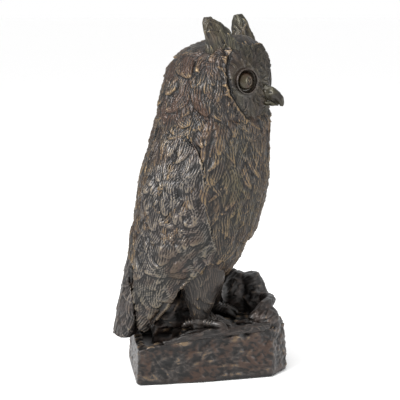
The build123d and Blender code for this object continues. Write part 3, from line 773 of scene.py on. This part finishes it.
rock_metal = bronze(
    "rock_patina", hollow_patina_and_shade=(0.0015, 0.0013, 0.0012), body=(0.0115, 0.0092, 0.0080),
    painted_highlight=(0.034, 0.029, 0.0265), rubbed=(0.115, 0.078, 0.044), warm=(0.030, 0.0140, 0.0076),
    grain=0.28,
)
rock = moulded("rock_base_skin", [cad_form("rock_base")], grain=1.0, ease=8)
points, normals = skin_of(rock)
level = np.cross(normals, (0.0, 0.0, 1.0))
upright = 1 - ramp(normals[:, 2], 0.35, 0.7)
flow = level * upright[:, None] + np.array((0.3, -1.0, 0)) * (1 - upright[:, None])
outer = (normals[:, 0] * points[:, 0] / 48 + normals[:, 1] * points[:, 1] / 65 > 0.15) | (points[:, 2] > 26)
slabs = combed(
    points, normals, scattered(points, gap=11, seed=111, where=outer), flow, long=38, wide=12,
    lift=1.5, pitch=4.0, seed=112, stray=0.18, groove=0.2,
)
strokes = combed(
    points, normals, scattered(points, gap=7, seed=113, where=outer), flow, long=22, wide=5,
    lift=0.8, pitch=2.4, seed=114, stray=0.22, groove=0.16,
)
rubble = np.abs(lumps(points, 8, 115)) * 3.2 + lumps(points, 4, 116) * 0.9
on_top = ramp(normals[:, 2], 0.4, 0.8) * ramp(points[:, 2], 27, 31)
rim = ramp(points[:, 2], 27, 40) * (1 - on_top)
height = slabs * 0.7 + strokes * 0.8 + 1.2 * lumps(points, 22, 117) + 1.8 * rim * lumps(points, 9, 118)
height = height * (1 - 0.6 * on_top)
height += rubble * on_top
height += 0.45 * lumps(points, 2.8, 119) + 0.35 * lumps(points, 4.5, 120)
off_foot = ramp(points[:, 2], 1.5, 6)
height *= off_foot * np.where(outer, 1, 0)
press(rock, points + normals * (height - 0.9 * off_foot)[:, None])
finish_relief(rock, height, rounds=14, fall=1.35, warm=0.9 * (1 - on_top))
settle(rock, rock_metal, "rock_bronze", "rock_base")

# --- Stones and root -----------------------------------------------------------------------
# A boulder and a far stone stand on the far side, a front stone on the near corner and a rear stone in
# the hollow. A root with four twigs runs along the near rim. All are bronze, brazed on the rock.

# Size of the faces, seed, and the lumps that are worked into each stone
stones = {
    "boulder": (0.7, 121, [stacked((
        (41, -54, -16, 15, 35), (60, -50, -17, 14.5, 35), (72, -47, -20, 12, 35),
        (78, -43, -25, 8, 35), (81, -38, -30, 4, 35),
    ))]),
    "far_stone": (0.8, 124, []),
    "front_stone": (0.7, 127, [drawn_out(
        [(-24, -34, 49), (-20, -42, 57), (-14, -51, 61), (-4, -57, 62), (8, -57, 61), (18, -54, 58)],
        [(5, 4), (6, 5), (6.5, 5.5), (6, 6), (6, 6), (5, 5)],
    )]),
    "rear_stone": (1.0, 128, [stacked((
        (42, 6, 40, 13, 3), (58, 7, 38, 12, 3), (70, 9, 36, 10, 3), (77, 13, 32, 6, 3),
    ))]),
}
for node, (grain, seed, lumps_on) in stones.items():
    stone = moulded(node + "_skin", [cad_form(node)] + lumps_on, grain=grain, ease=8)
    points, normals = skin_of(stone)
    flow = np.cross(normals, (0.2, 0.1, 1.0)) + np.array((0, 0, -0.35))
    folds = combed(
        points, normals, scattered(points, gap=7, seed=seed), flow, long=26, wide=8, lift=1.6,
        pitch=3.4, seed=seed + 1, stray=0.3, groove=0.15,
    )
    height = 0.8 * folds + 1.5 * lumps(points, 13, seed + 2) + 0.7 * lumps(points, 5, seed)
    press(stone, points + normals * (height - 1.3)[:, None])
    finish_relief(stone, height, rounds=12, fall=1.5)
    settle(stone, rock_metal, "rock_bronze", node)

# Places that each twig runs through, and its half width and half depth at each
twig_lines = (
    ([(-43, 38, 37), (-44, 31, 41.5), (-44, 25, 43), (-42.5, 18, 42.5)],
     [(1.2, 1), (2.2, 1.8), (2, 1.6), (0.8, 0.8)]),
    ([(-41, 12, 43), (-42.5, 4, 45.5), (-42, -6, 46.5), (-39, -14, 45)],
     [(1, 1), (1.9, 1.6), (1.9, 1.5), (0.8, 0.8)]),
    ([(-34, 30, 40), (-36, 20, 44), (-35, 8, 45), (-31, 0, 44)],
     [(1, 1), (1.8, 1.6), (1.8, 1.6), (1, 1)]),
    ([(-12, -24, 44), (-20, -31, 47.5), (-29, -37, 48), (-35, -42, 46)],
     [(1.2, 1), (2.2, 2), (2.0, 1.8), (1, 1)]),
)
twigs = [drawn_out(*line) for line in twig_lines]
root = moulded("root_ridge_skin", [cad_form("root_ridge")] + twigs, grain=0.5, ease=4)
points, normals = skin_of(root)
flow = np.tile((0.1, -1.0, 0.1), (len(points), 1))
bark = combed(
    points, normals, scattered(points, gap=4, seed=131), flow, long=15, wide=3, lift=0.6,
    pitch=1.5, seed=132, stray=0.15, groove=0.15,
)
height = bark + 0.6 * lumps(points, 6, 133)
press(root, points + normals * height[:, None])
finish_relief(root, height)
settle(root, rock_metal, "rock_bronze", "root_ridge")

# --- Dowels, studs, plate and felt ---------------------------------------------------------
# What holds the castings together is bar and steel, out of sight, so it keeps its turned shape. The
# dowels and plugs are filed back under the chased skin. Dark green wool felt is glued to the plate.


def plain(name, colour, metallic, roughness, scale, amount, nap):
    """A material with one colour, broken up a little, and a fine surface."""
    material = bpy.data.materials.new(name)
    material.use_nodes = True
    nodes, links = material.node_tree.nodes, material.node_tree.links
    shader = nodes["Principled BSDF"]
    shader.inputs["Metallic"].default_value = metallic
    shader.inputs["Roughness"].default_value = roughness
    place = nodes.new("ShaderNodeTexCoord")
    specks = nodes.new("ShaderNodeTexNoise")
    specks.inputs["Scale"].default_value = scale
    specks.inputs["Detail"].default_value = 4
    links.new(place.outputs["Object"], specks.inputs["Vector"])
    shades = nodes.new("ShaderNodeValToRGB")
    for stop, level in zip(shades.color_ramp.elements, (1 - amount, 1 + amount)):
        stop.color = (*(min(1, channel * level) for channel in colour), 1)
    links.new(specks.outputs["Fac"], shades.inputs["Fac"])
    links.new(shades.outputs["Color"], shader.inputs["Base Color"])
    bump = nodes.new("ShaderNodeBump")
    bump.inputs["Distance"].default_value = nap * MM
    links.new(specks.outputs["Fac"], bump.inputs["Height"])
    links.new(bump.outputs["Normal"], shader.inputs["Normal"])
    return material


FILED = 0.94
MIDDLE = (0, 2)
dowel_bar = plain(
    "dowel_bar", (0.45, 0.29, 0.14), metallic=1.0, roughness=0.35, scale=700, amount=0.2, nap=0.05,
)
for node in ("neck_pins", "wing_pins", "core_plugs"):
    points, faces = cad_form(node)
    points[:, :2] = (points[:, :2] - MIDDLE) * FILED + MIDDLE
    skin = bpy.data.meshes.new(node + "_filed")
    skin.from_pydata((points * MM).tolist(), [], faces)
    dowels = bpy.data.objects.new(node + "_filed", skin)
    bpy.context.scene.collection.objects.link(dowels)
    settle(dowels, dowel_bar, "dowel_bronze", node)

steel = plain(
    "plated_steel", (0.5, 0.5, 0.5), metallic=1.0, roughness=0.38, scale=500, amount=0.15,
    nap=0.04,
)
felt = plain(
    "wool_felt", (0.022, 0.026, 0.022), metallic=0.0, roughness=0.95, scale=2600, amount=0.5,
    nap=0.3,
)
for name, finish in (
    ("foot_studs", steel), ("stud_washers", steel), ("stud_nuts", steel), ("base_plate", steel),
    ("base_plate_screws", steel), ("felt_pad", felt),
):
    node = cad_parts[name]
    node.data.materials.clear()
    node.data.materials.append(finish)

# --- Floor, light and camera ---------------------------------------------------------------
# A plain white floor under soft studio light, strongest from high up on the camera's left. Each lamp
# has its place in metres, its width and its power.

floor_paint = bpy.data.materials.new("floor_white")
floor_paint.use_nodes = True
paint = floor_paint.node_tree.nodes["Principled BSDF"]
paint.inputs["Base Color"].default_value = (0.99, 0.99, 0.99, 1)
paint.inputs["Roughness"].default_value = 0.9
bpy.ops.mesh.primitive_plane_add(size=200, location=(0, 0, 0))
floor = bpy.context.object
floor.name = "floor"
floor.data.materials.append(floor_paint)

sky = bpy.data.worlds.new("studio")
sky.use_nodes = True
backdrop = sky.node_tree.nodes["Background"]
backdrop.inputs["Color"].default_value = (1, 1, 1, 1)
backdrop.inputs["Strength"].default_value = 1.0
bpy.context.scene.world = sky
bpy.context.scene.view_settings.view_transform = "Standard"
target = Vector((0, 0.008, 0.1552))
for name, place, size, power in (
    ("key", (-0.75, 0.95, 0.85), 0.5, 24),
    ("top", (-0.3, 0.2, 1.3), 0.5, 5),
    ("fill", (-0.9, -1.1, 0.4), 0.6, 8),
):
    lamp = bpy.data.lights.new(name, "AREA")
    lamp.size = size
    lamp.energy = power
    light = bpy.data.objects.new(name, lamp)
    light.location = place
    light.rotation_euler = (target - Vector(place)).to_track_quat("-Z", "Y").to_euler()
    bpy.context.scene.collection.objects.link(light)

lens = bpy.data.cameras.new("camera")
lens.lens = 105.63
camera = bpy.data.objects.new("camera", lens)
camera.location = (-1.0270, 0.1523, 0.3195)
camera.rotation_euler = (target - camera.location).to_track_quat("-Z", "Y").to_euler()
bpy.context.scene.collection.objects.link(camera)
bpy.context.scene.camera = camera
